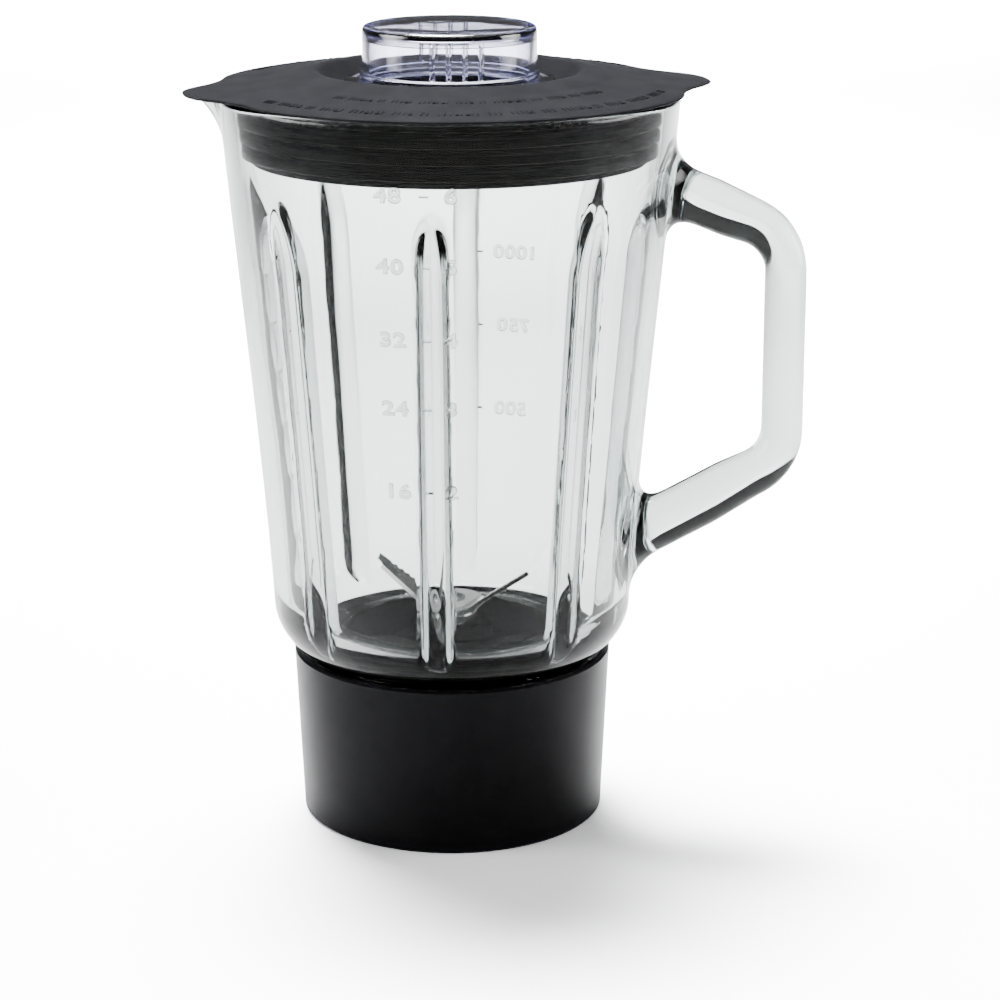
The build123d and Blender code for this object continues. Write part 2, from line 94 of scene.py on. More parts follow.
THREAD_PITCH = 9.0
THREAD_START = 36.5
THREAD_TURNS = 1.05
THREAD_CREST_R = 44.4
THREAD_HALF_CREST = 1.0
THREAD_FLANK = 0.5


# ---- Distance functions ------------------------------------------------------------------
def soft_min(a, b, blend):
    """Smaller of two distances, with a rounded fillet where they meet."""
    share = np.clip(0.5 + 0.5 * (b - a) / blend, 0, 1)
    return b + (a - b) * share - blend * share * (1 - share)


def soft_max(a, b, blend):
    """Larger of two distances, with a rounded edge where they meet."""
    return -soft_min(-a, -b, blend)


def rounded_edge(side, end, radius):
    """Distance to what lies inside both a side and an end, which meet in a round edge."""
    u, v = side + radius, end + radius
    return np.minimum(np.maximum(u, v), 0) + np.hypot(np.maximum(u, 0), np.maximum(v, 0)) - radius


def capsule(x, y, z, start, end, radius):
    """Distance to a round-ended bar."""
    start = np.array(start, float)
    run = np.array(end, float) - start
    along = ((x - start[0]) * run[0] + (y - start[1]) * run[1] + (z - start[2]) * run[2]) / run.dot(run)
    t = np.clip(along, 0, 1)
    dx, dy, dz = x - start[0] - t * run[0], y - start[1] - t * run[1], z - start[2] - t * run[2]
    return np.sqrt(dx**2 + dy**2 + dz**2) - radius


def path_with_bends(points, bend):
    """Straight runs and round bends of a path: [(start, end)] and [(centre, start, end)]."""
    corners = [np.array(p) for p in points]
    runs, bends = [], []
    start = corners[0]
    for before, corner, after in zip(corners, corners[1:], corners[2:]):
        u, v = before - corner, after - corner
        u, v = u / np.linalg.norm(u), v / np.linalg.norm(v)
        half = 0.5 * acos(u.dot(v))
        reach = bend / tan(half)
        middle = (u + v) / np.linalg.norm(u + v)
        runs.append((start, corner + u * reach))
        bends.append((corner + middle * bend / sin(half), corner + u * reach, corner + v * reach))
        start = corner + v * reach
    runs.append((start, corners[-1]))
    return runs, bends


HANDLE_RUNS, HANDLE_BENDS = path_with_bends(HANDLE_POINTS, HANDLE_BEND)


def handle_line_distance(x, z):
    """Distance from the handle's centre line, in the plane of the handle."""
    nearest = np.full(np.shape(x), 1e3)
    for start, end in HANDLE_RUNS:
        run = end - start
        t = np.clip(((x - start[0]) * run[0] + (z - start[1]) * run[1]) / run.dot(run), 0, 1)
        nearest = np.minimum(nearest, np.hypot(x - start[0] - t * run[0], z - start[1] - t * run[1]))
    for centre, start, end in HANDLE_BENDS:
        middle = (start + end) / 2 - centre
        middle /= np.linalg.norm(middle)
        spread = (start - centre).dot(middle) / HANDLE_BEND
        dx, dz = x - centre[0], z - centre[1]
        radius = np.hypot(dx, dz)
        beside = dx * middle[0] + dz * middle[1] >= spread * radius
        nearest = np.where(beside, np.minimum(nearest, np.abs(radius - HANDLE_BEND)), nearest)
    return nearest


def handle_field(x, y, z):
    """Distance to the bevelled bar of the handle."""
    depth = HANDLE_GRIP_DEPTH + HANDLE_ARM_EXTRA * np.clip((HANDLE_ARM_END - x) / HANDLE_ARM_TAPER, 0, 1)
    off = handle_line_distance(x, z)
    wide = np.abs(y)
    bevel = (off + wide - (depth + HANDLE_HALF_WIDTH - HANDLE_BEVEL)) * cos(pi / 4)
    bar = soft_max(soft_max(off - depth, wide - HANDLE_HALF_WIDTH, 2.0), bevel, 2.0)
    return np.maximum(bar, HANDLE_POINTS[-1][0] - x)


def thread_field(r, z, around):
    """Distance to the helical ridge on the foot."""
    nearest = np.full(np.shape(r), 1e3)
    for whole_turns in (0, 1):
        turns = (around % (2 * pi)) / (2 * pi) + whole_turns
        off = np.abs(z - THREAD_START - THREAD_PITCH * turns)
        flank = off - THREAD_HALF_CREST - THREAD_FLANK * (THREAD_CREST_R - r)
        ridge = soft_max(flank, r - THREAD_CREST_R, 0.6)
        ridge = np.maximum(ridge, FOOT_OUTER_R - 1.0 - r)
        ridge = np.maximum(ridge, (turns - THREAD_TURNS) * 2 * pi * FOOT_OUTER_R)
        nearest = np.minimum(nearest, ridge)
    return nearest


def glass_field(points):
    """Distance to the surface of the jar's glass, negative inside it, for points in millimetres."""
    x, y, z = points[..., 0], points[..., 1], points[..., 2]
    r = np.hypot(x, y)
    around = np.arctan2(y, x)
    side = (r - np.polyval(WALL_CURVE, np.maximum(z, WALL_HEIGHTS[0]))) * WALL_SLOPE_FACTOR

    foot = np.maximum(rounded_edge(r - FOOT_OUTER_R, FOOT_BOTTOM - z, 1.0), z - SHOULDER_BOTTOM - 9)
    body = soft_min(rounded_edge(side, SHOULDER_BOTTOM - z, SHOULDER_ROUND), foot, 2.5)
    body = soft_min(body, handle_field(x, y, z), HANDLE_ROOT_BLEND)
    lean = np.array([-sin(SPOUT_TILT), 0, cos(SPOUT_TILT)])
    lip = np.array([SPOUT_AXIS_X, 0, RIM_TOP])
    body = soft_min(body, capsule(x, y, z, lip - SPOUT_REACH * lean, lip + SPOUT_REACH * lean, SPOUT_R), 6.0)
    body = rounded_edge(body, z - RIM_TOP, RIM_ROUND)

    hollow = rounded_edge(side + WALL_THICKNESS, BOWL_BOTTOM - z, BOWL_ROUND)
    sector = 2 * pi / RIDGE_COUNT
    local = (around + sector / 2) % sector - sector / 2
    above_bend = np.clip(z - RIDGE_BEND_START, 0, RIDGE_BEND_LENGTH)
    centre = RIDGE_FOOT[0] + RIDGE_SLOPE * (z - RIDGE_FOOT[1]) + RIDGE_BEND * above_bend**2
    steepness = np.sqrt(1 + (RIDGE_SLOPE + 2 * RIDGE_BEND * above_bend) ** 2)
    ridge = np.hypot((r * np.cos(local) - centre) / steepness, r * np.sin(local)) - RIDGE_R
    hollow = soft_max(hollow, -soft_max(ridge, RIDGE_FOOT[1] - z, 3.0), 1.8)
    bore = capsule(x, y, z, lip - SPOUT_REACH * lean, lip + SPOUT_BORE_REACH * lean, SPOUT_BORE_R)
    hollow = soft_min(hollow, bore, 4.0)
    hollow = soft_min(hollow, np.maximum(r - FOOT_BORE_R, z - BOWL_BOTTOM - 18), 1.0)
    return soft_min(soft_max(body, -hollow, 1.5), thread_field(r, z, around), 0.8)


# ---- Mesh from a distance function -------------------------------------------------------
def net_of(field, low, high, cell):
    """Quads on the zero surface of a field, one point in each grid cell that the surface crosses."""
    axes = [np.arange(a, b + cell, cell) for a, b in zip(low, high)]
    shape = tuple(len(a) for a in axes)
    values = np.empty(shape, np.float32)
    ys, zs = np.meshgrid(axes[1], axes[2], indexing="ij")
    for i, x in enumerate(axes[0]):
        values[i] = field(np.stack([np.full_like(ys, x), ys, zs], -1))
    solid = values < 0
    corners = [(i, j, k) for i in (0, 1) for j in (0, 1) for k in (0, 1)]
    count = sum(
        solid[i : shape[0] - 1 + i, j : shape[1] - 1 + j, k : shape[2] - 1 + k].astype(np.int8)
        for i, j, k in corners
    )
    crossed = (count > 0) & (count < 8)
    index = np.full(crossed.shape, -1, np.int64)
    cells = np.argwhere(crossed)
    index[crossed] = np.arange(len(cells))
    at_corner = [values[cells[:, 0] + i, cells[:, 1] + j, cells[:, 2] + k] for i, j, k in corners]
    total, hits = np.zeros((len(cells), 3)), np.zeros(len(cells))
    for here, corner in enumerate(corners):
        for axis in range(3):
            if corner[axis] == 0:
                a, b = at_corner[here], at_corner[here + (4, 2, 1)[axis]]
                cuts = (a < 0) != (b < 0)
                place = np.tile(np.array(corner, float), (len(cells), 1))
                place[:, axis] += np.where(cuts, a / np.where(cuts, a - b, 1), 0)
                total += place * cuts[:, None]
                hits += cuts
    points = (cells + total / hits[:, None]) * cell + np.array([a[0] for a in axes])

    quads = []
    for axis in range(3):
        b, c = (axis + 1) % 3, (axis + 2) % 3
        lower = np.take(solid, range(shape[axis] - 1), axis)
        upper = np.take(solid, range(1, shape[axis]), axis)
        edges = np.argwhere(lower != upper)
        around = []
        for db, dc in ((0, 0), (1, 0), (1, 1), (0, 1)):
            beside = edges.copy()
            beside[:, b] -= db
            beside[:, c] -= dc
            around.append(index[beside[:, 0], beside[:, 1], beside[:, 2]])
        around = np.stack(around, 1)
        outward = lower[tuple(edges.T)]
        quads.append(np.where(outward[:, None], around, around[:, ::-1]))
    return points, np.concatenate(quads)


def slope_of(field, points, step=0.02):
    """Gradient of a field at each point."""
    slope = np.empty_like(points)
    for axis in range(3):
        shift = np.zeros(3)
        shift[axis] = step
        slope[:, axis] = (field(points + shift) - field(points - shift)) / (2 * step)
    return slope


def settle(field, points, quads, rounds=4):
    """Spreads the points evenly over the surface and puts each one exactly on it."""
    for turn in range(rounds + 1):
        for _ in range(2):
            slope = slope_of(field, points)
            steep = np.maximum((slope * slope).sum(1), 0.05)
            points = points - field(points)[:, None] * slope / steep[:, None]
        if turn < rounds:
            total, hits = np.zeros_like(points), np.zeros(len(points))
            for i in range(4):
                for j in ((i + 1) % 4, (i - 1) % 4):
                    np.add.at(total, quads[:, i], points[quads[:, j]])
                    np.add.at(hits, quads[:, i], 1)
            points = 0.5 * points + 0.5 * total / hits[:, None]
    slope = slope_of(field, points)
    return points, slope / np.linalg.norm(slope, axis=1)[:, None]


def object_from(name, points, faces, body, material, smooth_angle=None):
    """New mesh piece, from points in millimetres, that rides on a CAD body."""
    mesh = bpy.data.meshes.new(name)
    mesh.from_pydata((np.asarray(points) * MM).tolist(), [], [tuple(int(i) for i in f) for f in faces])
    mesh.validate()
    mesh.shade_smooth()
    if smooth_angle is not None:
        mesh.set_sharp_from_angle(angle=radians(smooth_angle))
    piece = bpy.data.objects.new(name, mesh)
    scene.collection.objects.link(piece)
    mesh.materials.append(material)
    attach(piece, body)
    return piece


# ---- Materials ---------------------------------------------------------------------------
def new_material(name, color, roughness, **constants):
    """Principled material; its other constants are set by the names of its sockets."""
    material = bpy.data.materials.new(name)
    material.use_nodes = True
    shader = material.node_tree.nodes["Principled BSDF"]
    shader.inputs["Base Color"].default_value = (*color, 1)
    shader.inputs["Roughness"].default_value = roughness
    for socket, value in constants.items():
        shader.inputs[socket.replace("_", " ")].default_value = value
    return material


def texture_place(material, stretch=(1, 1, 1)):
    """Object coordinates, in metres, stretched by an amount along each axis."""
    nodes, links = material.node_tree.nodes, material.node_tree.links
    where = nodes.new("ShaderNodeTexCoord")
    scale = nodes.new("ShaderNodeMapping")
    scale.inputs["Scale"].default_value = stretch
    links.new(where.outputs["Object"], scale.inputs["Vector"])
    return scale.outputs["Vector"]


def noise(material, size, detail=2.0, stretch=(1, 1, 1)):
    """Noise whose grains measure about the given size in metres."""
    nodes, links = material.node_tree.nodes, material.node_tree.links
    grains = nodes.new("ShaderNodeTexNoise")
    grains.inputs["Scale"].default_value = 1 / size
    grains.inputs["Detail"].default_value = detail
    links.new(texture_place(material, stretch), grains.inputs["Vector"])
    return grains.outputs["Fac"]


def add_bump(material, height, depth):
    """Bump of a real depth in metres, on top of any bump that is there."""
    nodes, links = material.node_tree.nodes, material.node_tree.links
    shader = nodes["Principled BSDF"]
    bump = nodes.new("ShaderNodeBump")
    bump.inputs["Strength"].default_value = 1.0
    bump.inputs["Distance"].default_value = depth
    links.new(height, bump.inputs["Height"])
    before = shader.inputs["Normal"].links
    if before:
        links.new(before[0].from_socket, bump.inputs["Normal"])
    links.new(bump.outputs["Normal"], shader.inputs["Normal"])


def vary(material, socket, height, low, high):
    """Lets a shader value wander between two limits with a noise."""
    nodes, links = material.node_tree.nodes, material.node_tree.links
    spread = nodes.new("ShaderNodeMapRange")
    spread.inputs["To Min"].default_value = low
    spread.inputs["To Max"].default_value = high
    links.new(height, spread.inputs["Value"])
    links.new(spread.outputs["Result"], nodes["Principled BSDF"].inputs[socket])


def vary_color(material, height, dark, light):
    """Lets the base colour wander between two colours with a noise."""
    nodes, links = material.node_tree.nodes, material.node_tree.links
    ramp = nodes.new("ShaderNodeValToRGB")
    ramp.color_ramp.elements[0].position = 0.35
    ramp.color_ramp.elements[1].position = 0.65
    ramp.color_ramp.elements[0].color = (*dark, 1)
    ramp.color_ramp.elements[1].color = (*light, 1)
    links.new(height, ramp.inputs["Fac"])
    links.new(ramp.outputs["Color"], nodes["Principled BSDF"].inputs["Base Color"])


def absorb(material, color, density):
    """Tints the light that goes a long way through the material; density is per metre."""
    nodes, links = material.node_tree.nodes, material.node_tree.links
    tint = nodes.new("ShaderNodeVolumeAbsorption")
    tint.inputs["Color"].default_value = (*color, 1)
    tint.inputs["Density"].default_value = density
    links.new(tint.outputs["Volume"], nodes["Material Output"].inputs["Volume"])


def glass_material(name, color, density):
    """Clear pressed glass with the faint waves that the mould leaves."""
    material = new_material(
        name, (0.985, 0.996, 0.992), 0.0, IOR=1.5, Transmission_Weight=1.0, Specular_Tint=(0.2, 0.2, 0.2, 1)
    )
    add_bump(material, noise(material, 0.022, 1.0, (1, 1, 0.35)), 0.00012)
    add_bump(material, noise(material, 0.006, 1.0, (1, 1, 0.5)), 0.00001)
    vary(material, "Roughness", noise(material, 0.03), 0.0, 0.02)
    absorb(material, color, density)
    return material


def clear_plastic_material():
    """Clear plastic of the filler cap, with a faint blue-violet cast."""
    material = new_material("clear_plastic", (0.945, 0.95, 0.995), 0.02, IOR=1.56, Transmission_Weight=1.0)
    add_bump(material, noise(material, 0.012, 1.0), 0.00006)
    vary(material, "Roughness", noise(material, 0.004), 0.01, 0.05)
    absorb(material, (0.50, 0.50, 0.93), 55.0)
    return material


def plain_material(name, dark, light, roughness, grain, depth, specular):
    """Plastic, rubber or satin surface: fine grain, slightly uneven gloss and colour."""
    material = new_material(name, dark, roughness, Specular_IOR_Level=specular)
    vary_color(material, noise(material, 0.009, 3.0), dark, light)
    vary(material, "Roughness", noise(material, 0.012, 3.0), roughness * 0.9, roughness * 1.1)
    add_bump(material, noise(material, grain, 2.0), depth)
    return material


def metal_material(name, dark, light, roughness, grain, stretch, depth):
    """Bare metal with grinding or turning marks along one direction."""
    material = new_material(name, dark, roughness, Metallic=1.0)
    marks = noise(material, grain, 3.0, stretch)
    vary_color(material, marks, dark, light)
    vary(material, "Roughness", marks, roughness * 0.8, roughness * 1.25)
    add_bump(material, marks, depth)
    return material


MATERIALS = {
    "jar_glass": glass_material("pressed_glass", (0.46, 0.51, 0.50), 74.0),
    "cap_plastic": clear_plastic_material(),
    "lid_plastic": plain_material(
        "lid_grain", (0.0038, 0.0039, 0.0044), (0.0048, 0.0049, 0.0055), 0.55, 0.0006, 0.00004, 0.002
    ),
    "lid_seal_rubber": plain_material(
        "soft_ring", (0.0030, 0.0030, 0.0034), (0.0042, 0.0042, 0.0046), 0.30, 0.0008, 0.00002, 0.02
    ),
    "collar_plastic": plain_material(
        "satin_black", (0.0014, 0.0014, 0.0018), (0.0018, 0.0018, 0.0022), 0.40, 0.0004, 0.00001, 0.014
    ),
    "ring_plastic": plain_material(
        "gloss_black", (0.002, 0.002, 0.002), (0.003, 0.003, 0.003), 0.12, 0.002, 0.00001, 0.02
    ),
    "carrier_plastic": plain_material(
        "carrier_black", (0.0024, 0.0024, 0.0026), (0.0036, 0.0036, 0.0038), 0.16, 0.0008, 0.00001, 0.001
    ),
    "coupling_plastic": plain_material(
        "coupling_black", (0.008, 0.008, 0.009), (0.014, 0.014, 0.015), 0.5, 0.0004, 0.00004, 0.1
    ),
    "seal_rubber": plain_material(
        "seal_black", (0.004, 0.004, 0.004), (0.006, 0.006, 0.006), 0.7, 0.0006, 0.00004, 0.01
    ),
    "cap_seal_silicone": plain_material(
        "silicone", (0.60, 0.60, 0.62), (0.68, 0.68, 0.70), 0.45, 0.001, 0.00002, 0.5
    ),
    "felt": plain_material("wool_felt", (0.42, 0.39, 0.33), (0.60, 0.56, 0.48), 0.95, 0.0005, 0.0002, 0.2),
    "screw_steel": metal_material(
        "zinc_plate", (0.52, 0.53, 0.55), (0.66, 0.66, 0.66), 0.32, 0.001, (1, 1, 1), 0.00001
    ),
    "shaft_steel": metal_material(
        "turned_steel", (0.50, 0.50, 0.50), (0.66, 0.66, 0.65), 0.25, 0.0009, (0.1, 0.1, 6), 0.00001
    ),
    "blade_steel": metal_material(
        "ground_steel", (0.56, 0.56, 0.56), (0.74, 0.74, 0.73), 0.22, 0.0012, (1, 1, 8), 0.00001
    ),
    "plate_steel": plain_material(
        "satin_steel", (0.70, 0.69, 0.68), (0.82, 0.81, 0.80), 0.30, 0.0015, 0.00001, 0.9
    ),
    "bush_bronze": metal_material(
        "sintered_bronze", (0.42, 0.27, 0.13), (0.60, 0.42, 0.24), 0.45, 0.0005, (1, 1, 1), 0.00003
    ),
    "core_brass": metal_material(
        "machined_brass", (0.62, 0.45, 0.18), (0.76, 0.60, 0.30), 0.28, 0.0009, (0.1, 0.1, 6), 0.00001
    ),
}
for link in frame["record"]["subparts"]:
    node = frame["nodes"][link["node"]]
    node.data.materials.clear()
    node.data.materials.append(MATERIALS[link["material_slot"]])


# ---- Glass jar ---------------------------------------------------------------------------
FIELD_MARGIN = 2.5
FULL_CELL = 1.6


def make_jar():
    """Glass jar with its handle, spout and ridges, in place of the CAD jar."""
    low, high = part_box("jar")
    corner_low = np.array(low) / MM - FIELD_MARGIN
    corner_high = np.array(high) / MM + FIELD_MARGIN
    cell = FULL_CELL
    points, quads = net_of(glass_field, corner_low, corner_high, cell)
    points, normals = settle(glass_field, points, quads)
    jar = object_from("jar_glass", points, quads, "jar", MATERIALS["jar_glass"])
    jar.data.normals_split_custom_set_from_vertices(normals.tolist())
    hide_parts("jar")


make_jar()


# ---- Turned pieces -----------------------------------------------------------------------
def round_corners(outline, steps=4):
    """Closed outline of (radius, height) points; a third number rounds that corner."""
    result = []
    for i, corner in enumerate(outline):
        here = np.array(corner[:2], float)
        if len(corner) == 2:
            result.append(here)
            continue
        before = np.array(outline[i - 1][:2], float) - here
        after = np.array(outline[(i + 1) % len(outline)][:2], float) - here
        reach_before, reach_after = np.linalg.norm(before), np.linalg.norm(after)
        before, after = before / reach_before, after / reach_after
        half = 0.5 * acos(max(-1.0, min(1.0, before.dot(after))))
        if half > 0.499 * pi:
            result.append(here)
            continue
        reach = min(corner[2] / tan(half), 0.48 * reach_before, 0.48 * reach_after)
        radius = reach * tan(half)
        centre = here + (before + after) / np.linalg.norm(before + after) * radius / sin(half)
        start, end = here + before * reach - centre, here + after * reach - centre
        sweep = acos(max(-1.0, min(1.0, start.dot(end) / radius**2)))
        for k in range(steps + 1):
            t = k / steps
            point = (sin((1 - t) * sweep) * start + sin(t * sweep) * end) / sin(sweep)
            result.append(centre + point)
    return np.array(result)


def lathe(name, outline, body, slot, segments=256, reshape=None):
    """Piece turned about Z from a closed outline; reshape may move its points in or out."""
    rows = round_corners(outline)
    turn = np.arange(segments) * 2 * pi / segments
    r, angle = np.meshgrid(rows[:, 0], turn, indexing="ij")
    z = np.repeat(rows[:, 1:], segments, 1)
    if reshape:
        r = reshape(r, z, angle)
    on_axis = rows[:, 0] == 0
    points, index = [], []
    for i, alone in enumerate(on_axis):
        index.append(len(points) + (np.zeros(segments, int) if alone else np.arange(segments)))
        row = np.stack([r[i] * np.cos(turn), r[i] * np.sin(turn), z[i]], 1)
        points.extend(row[:1] if alone else row)
    faces = []
    for i, alone in enumerate(on_axis):
        j = (i + 1) % len(rows)
        if alone and on_axis[j]:
            continue
        for k in range(segments):
            m = (k + 1) % segments
            corners = [index[i][k], index[i][m], index[j][m], index[j][k]]
            faces.append(list(dict.fromkeys(corners)))
    return object_from(name, points, faces, body, MATERIALS[slot], 32)


LID_TURN = 16.0
LID_R = 77.0
LOBE_LENGTH = 8.0
LOBE_HALF_WIDTH = 11.3
LOBE_FULLNESS = 3.18
WAIST_ANGLE = 22.0
WAIST_SPREAD = 6.0
WAIST_DEPTH = 1.6
FLANGE_ROOT = 64.0
NOTCH_R = 32.1
NOTCH_HALF_ANGLE = 14.0
HOLE_R = 29.8


def from_lobe(angle):
    """Degrees from the nearest of the lid's two lobes."""
    return np.abs((np.degrees(angle) - LID_TURN + 90) % 180 - 90)


def reshape_lid(r, z, angle):
    """Runs the flange out into its lobes and opens the two notches for the cap's tabs."""
    off = from_lobe(angle)
    edge = LID_R + LOBE_LENGTH * np.exp(-((off / LOBE_HALF_WIDTH) ** LOBE_FULLNESS))
    edge -= WAIST_DEPTH * np.exp(-(((off - WAIST_ANGLE) / WAIST_SPREAD) ** 2))
    stretched = FLANGE_ROOT + (r - FLANGE_ROOT) * (edge - FLANGE_ROOT) / (LID_R - FLANGE_ROOT)
    opened = np.where((r < HOLE_R + 0.1) & (off < NOTCH_HALF_ANGLE), NOTCH_R, r)
    return np.where(r > FLANGE_ROOT + 0.05, stretched, opened)


def make_lid():
    """Lid cover with its two lobes, raised rim and the hole for the cap."""
    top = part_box("lid_cover")[1].z / MM
    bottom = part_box("lid_cover")[0].z / MM
    outline = [
        (HOLE_R, top - 8.0),
        (37.2, top - 8.0, 1.5),
        (41.9, top - 2.4, 2.0),
        (60.0, top - 5.9, 1.0),
        (60.0, bottom + 0.8, 0.4),
        (60.8, bottom, 0.4),
        (63.2, bottom, 0.5),
        (FLANGE_ROOT, bottom + 0.8, 0.4),
        (FLANGE_ROOT, bottom + 1.8, 0.4),
        (62.0, bottom + 1.8, 0.3),
        (62.0, top - 6.8, 0.4),
        (70.0, top - 6.8),
        (LID_R - 0.7, top - 6.8, 0.3),
        (LID_R, top - 6.4, 0.3),
        (LID_R, top - 5.9, 0.4),
        (LID_R - 1.0, top - 5.6, 1.0),
        (FLANGE_ROOT, top - 3.9, 30.0),
        (52.0, top - 2.1, 20.0),
        (42.6, top + 0.15, 3.2),
        (36.6, top - 6.1, 2.2),
        (HOLE_R, top - 6.1, 0.3),
    ]
    lid = lathe("lid_cover_shape", outline, "lid", "lid_plastic", 720, reshape_lid)
    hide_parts("lid_cover")


SEAL_INNER_R = 62.4
SEAL_WEB_R = 64.2
LIP_COUNT = 4
LIP_THICKNESS = 3.6
LIP_TAPER = 0.095


def make_lid_seal():
    """Ring of lips under the lid, each a little narrower than the one above it."""
    low, high = (corner.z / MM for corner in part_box("lid_seal"))
    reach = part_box("lid_seal")[1].x / MM
    outline = [(SEAL_INNER_R, low, 0.3), (SEAL_WEB_R, low, 0.3)]
    pitch = (high - low - LIP_THICKNESS) / (LIP_COUNT - 1)
    for i in range(LIP_COUNT):
        base = low + pitch * i
        tip = reach - (LIP_COUNT - 1 - i) * pitch * LIP_TAPER
        outline += [(SEAL_WEB_R, base + 0.05, 0.2), (tip, base + 0.5, 0.8)]
        outline += [(tip, base + LIP_THICKNESS - 0.5, 0.8), (SEAL_WEB_R, base + LIP_THICKNESS, 0.4)]
    outline[2] = (SEAL_WEB_R, low + 0.1)
    outline += [(SEAL_INNER_R, high, 0.3)]
    seal = lathe("lid_seal_shape", outline, "lid_ring", "lid_seal_rubber")
    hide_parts("lid_seal")


GRIP_COUNT = 4
GRIP_SPACING = 10.6
GRIP_TURN = -96.4 + LID_TURN
GRIP_HALF_WIDTH = 1.9
GRIP_HEIGHT = 0.8
TAB_HALF_ANGLE = 10.0
TAB_LENGTH = 2.3
TAB_LOW = 5.4
TAB_HIGH = 7.6
CAP_WALL_R = 27.8
CAP_SKIRT_R = 29.3


def make_cap():
    """Clear filler cap: a cup with finger grips, a skirt with two tabs and a closed top."""
    low, high = (corner.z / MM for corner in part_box("filler_cap"))
    wall_low, wall_high = high - 14.3, high - 3.6

    def reshape_cap(r, z, angle):
        """Raises the finger grips on the wall and the two locking tabs on the skirt."""
        off = (np.degrees(angle) - GRIP_TURN + 90) % 180 - 90
        nearest = np.full(off.shape, 1e3)
        for i in range(GRIP_COUNT):
            nearest = np.minimum(nearest, np.abs(off - GRIP_SPACING * (i - (GRIP_COUNT - 1) / 2)))
        ridge = GRIP_HEIGHT * np.cos(0.5 * pi * np.clip(nearest / GRIP_HALF_WIDTH, 0, 1)) ** 2
        outside = (np.abs(r - CAP_WALL_R) < 0.2) & (z > wall_low) & (z < wall_high)
        tab = (np.abs(r - CAP_SKIRT_R) < 0.05) & (z > low + TAB_LOW - 0.05) & (z < low + TAB_HIGH + 0.05)
        tab &= from_lobe(angle) < TAB_HALF_ANGLE
        return r + np.where(outside, ridge, 0) + np.where(tab, TAB_LENGTH, 0)

    outline = [
        (0, high - 2.3),
        (12.0, high - 2.3),
        (24.6, high - 2.3, 1.2),
        (25.5, high - 4.4, 1.0),
        (25.5, low + 1.0),
        (25.5, low, 0.4),
        (CAP_SKIRT_R, low, 0.4),
        (CAP_SKIRT_R, low + TAB_LOW - 0.2),
        (CAP_SKIRT_R, low + TAB_LOW),
        (CAP_SKIRT_R, low + TAB_HIGH),
        (CAP_SKIRT_R, low + TAB_HIGH + 0.2),
        (CAP_SKIRT_R, low + 11.2, 0.3),
        (33.5, low + 11.2, 0.4),
        (33.5, low + 12.8, 0.4),
        (28.6, low + 12.8, 0.3),
        (28.6, low + 14.7, 0.3),
        (CAP_WALL_R, low + 14.9, 0.3),
        (CAP_WALL_R, low + 15.4),
        (CAP_WALL_R, low + 16.4),
        (CAP_WALL_R, high - 4.6),
        (CAP_WALL_R, high - 3.8),
        (CAP_WALL_R, high - 3.2),
        (CAP_WALL_R, high, 2.8),
        (24.2, high, 1.0),
        (12.0, high),
        (0, high),
    ]
    cap = lathe("filler_cap_shape", outline, "cap", "cap_plastic", 720, reshape_cap)
    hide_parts("filler_cap")


# ---- Raised marks ------------------------------------------------------------------------
BARS_IN_WORDS = (3, 6, 2, 5, 7, 4, 2, 8, 3, 5)
BAR_WIDTH = 0.55
BAR_SPACING = 1.35
WORD_GAP = 1.6
CROSS_BAR = (0.8, 0.9)
CROSS_BAR_OFFSET = 0.9
CROSS_BAR_TURN = 0.42
LID_TOP_SLOPE = 0.14
# Each row: radius, height from the lid's top, length of a bar, angle at the start and at the end.
BAR_ROWS = ((69.6, -4.75, 2.6, 24, 142), (69.6, -4.75, 2.6, 206, 333), (57.5, -3.0, 2.3, 222, 312))


def bars_on_lid():
    """Rows of short raised bars round the lid, in groups like words."""
    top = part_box("lid_cover")[1].z / MM
    points, faces = [], []

    def add_bar(radius, height, angle, length, width):
        a = radians(angle)
        out, across = np.array([cos(a), sin(a), 0]), np.array([-sin(a), cos(a), 0])
        for level, spread in ((-0.3, 1.0), (0.12, 1.0), (0.3, 0.55)):
            for u, v in ((-1, -1), (1, -1), (1, 1), (-1, 1)):
                slope = -LID_TOP_SLOPE * u * length / 2
                along = radius + u * (length / 2 - 0.2 + 0.2 * spread)
                flat = out * along + across * v * width / 2 * spread
                points.append(flat + np.array([0, 0, height + level + slope]))
        start = len(points) - 12
        faces.append((start + 3, start + 2, start + 1, start))
        faces.append((start + 8, start + 9, start + 10, start + 11))
        for low in (start, start + 4):
            for k in range(4):
                faces.append((low + k, low + (k + 1) % 4, low + 4 + (k + 1) % 4, low + 4 + k))

    for radius, drop, length, start_angle, end_angle in BAR_ROWS:
        height = top + drop
        angle, word = start_angle, 0
        while angle < end_angle:
            for bar in range(BARS_IN_WORDS[word % len(BARS_IN_WORDS)]):
                add_bar(radius, height, angle + LID_TURN, length, BAR_WIDTH)
                if bar % 3 != 1:
                    aside = CROSS_BAR_OFFSET if bar % 2 else -CROSS_BAR_OFFSET
                    add_bar(radius + aside, height, angle + LID_TURN + CROSS_BAR_TURN, *CROSS_BAR)
                angle += BAR_SPACING
            angle += WORD_GAP
            word += 1
    object_from("lid_bars", points, faces, "lid", MATERIALS["lid_plastic"], 30)


